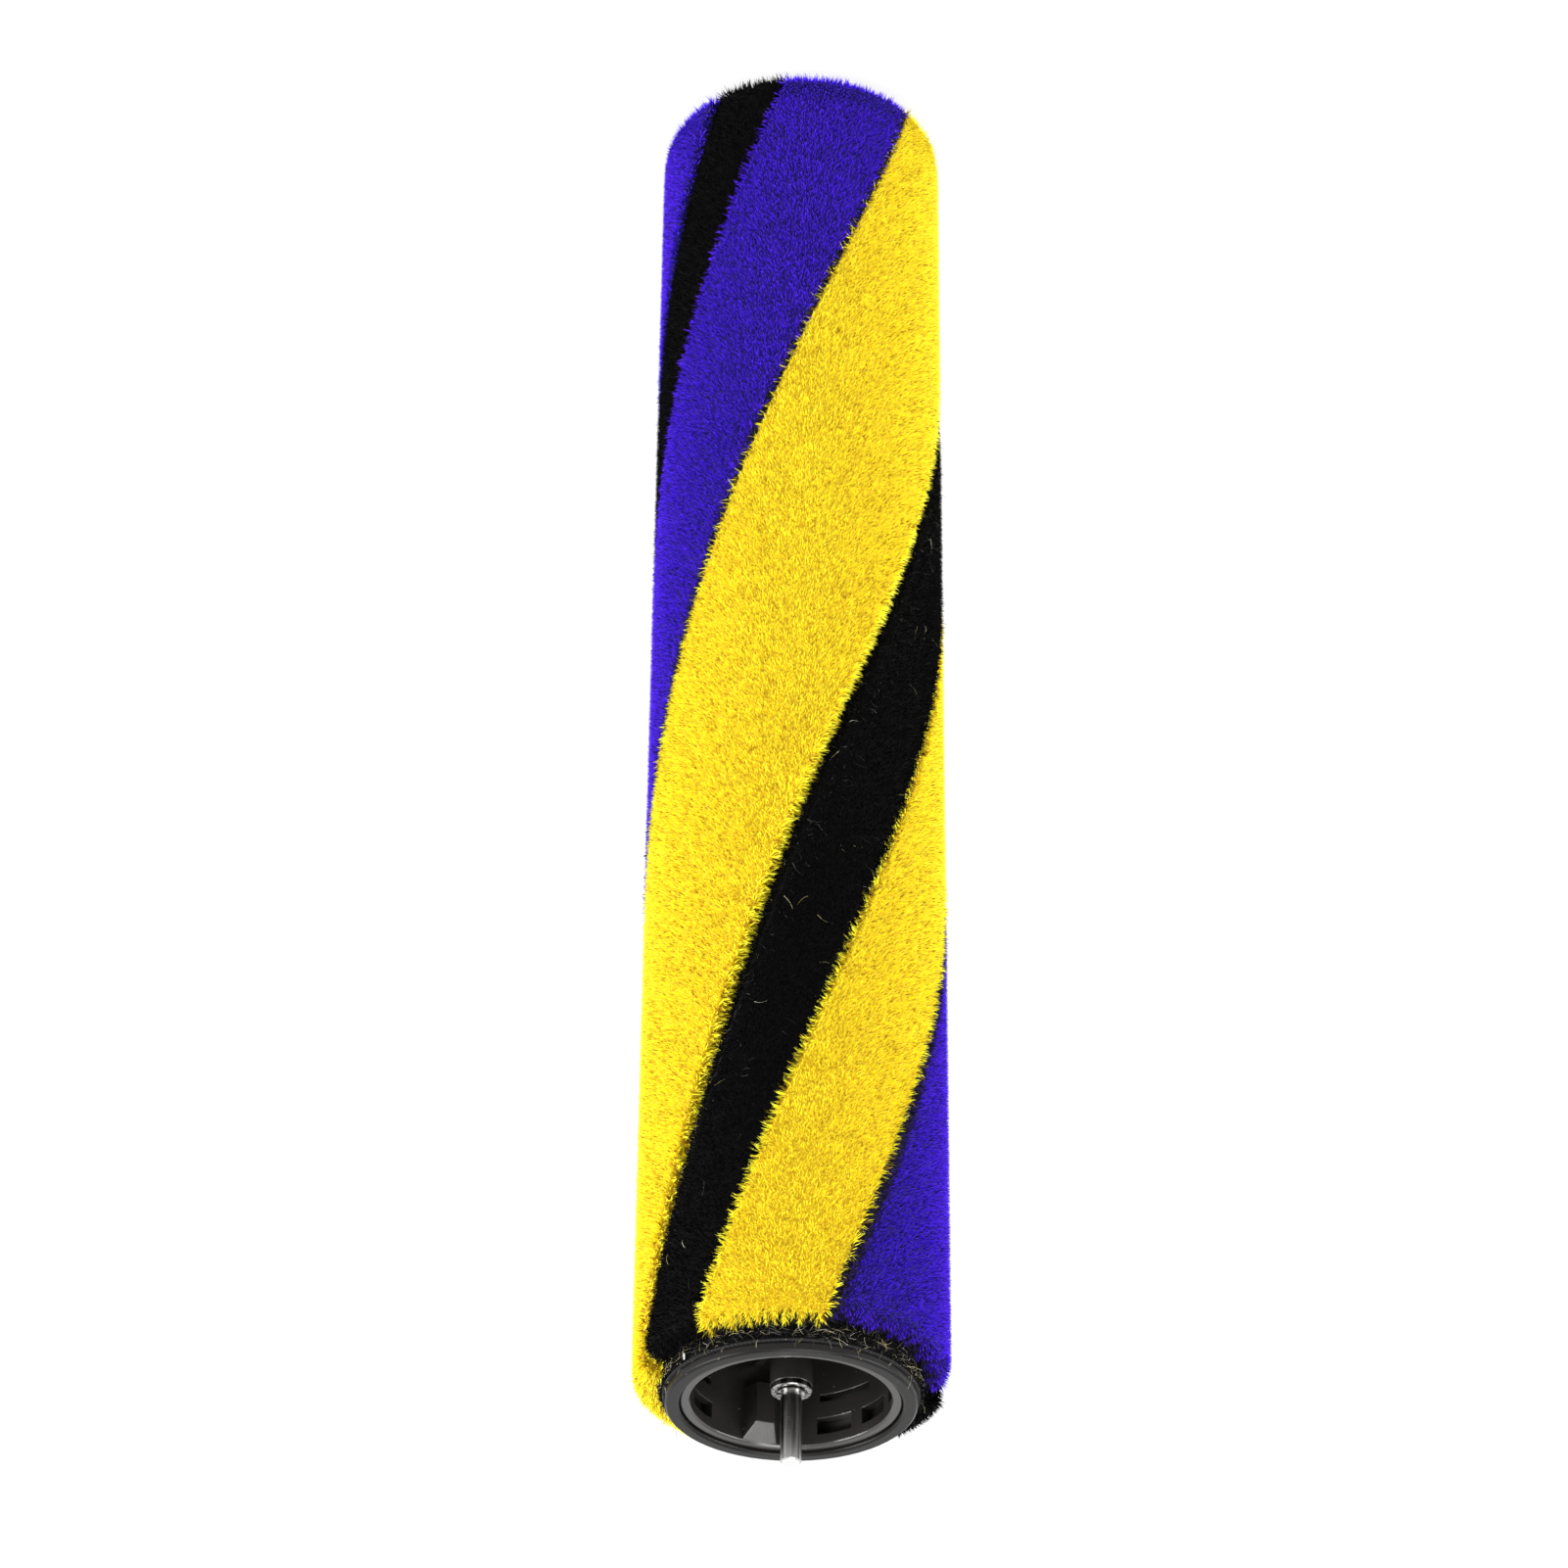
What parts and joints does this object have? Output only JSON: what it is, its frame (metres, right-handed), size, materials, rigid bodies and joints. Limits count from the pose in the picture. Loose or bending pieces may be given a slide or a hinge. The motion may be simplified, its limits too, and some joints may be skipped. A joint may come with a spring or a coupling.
{
  "type": "vacuum roller brush",
  "caption": "Soft roller for a vacuum floor head: a tube wound with helical bands of blue, yellow and black pile, with a steel spindle in its bearing end and a motor bore in the other.",
  "frame": {"origin": "on the roller's axis, in the plane of the drive end's rim, on which it stands", "axes": "+Z along the roller's axis, towards the spindle's free end; -Y towards the viewer of the picture"},
  "size_m": [0.045, 0.045, 0.2388],
  "materials": {
    "tube_plastic": "satin black moulding",
    "carrier_plastic": "satin black moulding",
    "bush_metal": "turned",
    "spindle_steel": "ground steel",
    "backing_weave": "woven backing with frayed ends",
    "black_pile": "dense stiff pile",
    "yellow_pile": "soft pile",
    "blue_pile": "soft pile"
  },
  "bodies": {
    "roller": {"core_tube": "tube_plastic", "bearing_carrier": "carrier_plastic", "drive_coupling": "carrier_plastic", "front_bush": "bush_metal", "rear_bush": "bush_metal", "backing_band_a": "backing_weave", "backing_band_b": "backing_weave", "black_pile_a": "black_pile", "black_pile_b": "black_pile", "yellow_pile_narrow": "yellow_pile", "yellow_pile_wide": "yellow_pile", "blue_pile_narrow": "blue_pile", "blue_pile_wide": "blue_pile"},
    "spindle": {"spindle": "spindle_steel", "front_retaining_ring": "spindle_steel", "rear_retaining_clip": "spindle_steel", "rear_thrust_washer": "spindle_steel"}
  },
  "joints": [
    {"name": "spindle_spin", "type": "hinge", "parent": "roller", "child": "spindle", "pos_m": [0, 0, 0.2125], "axis": [0, 0, 1], "continuous": true}
  ]
}
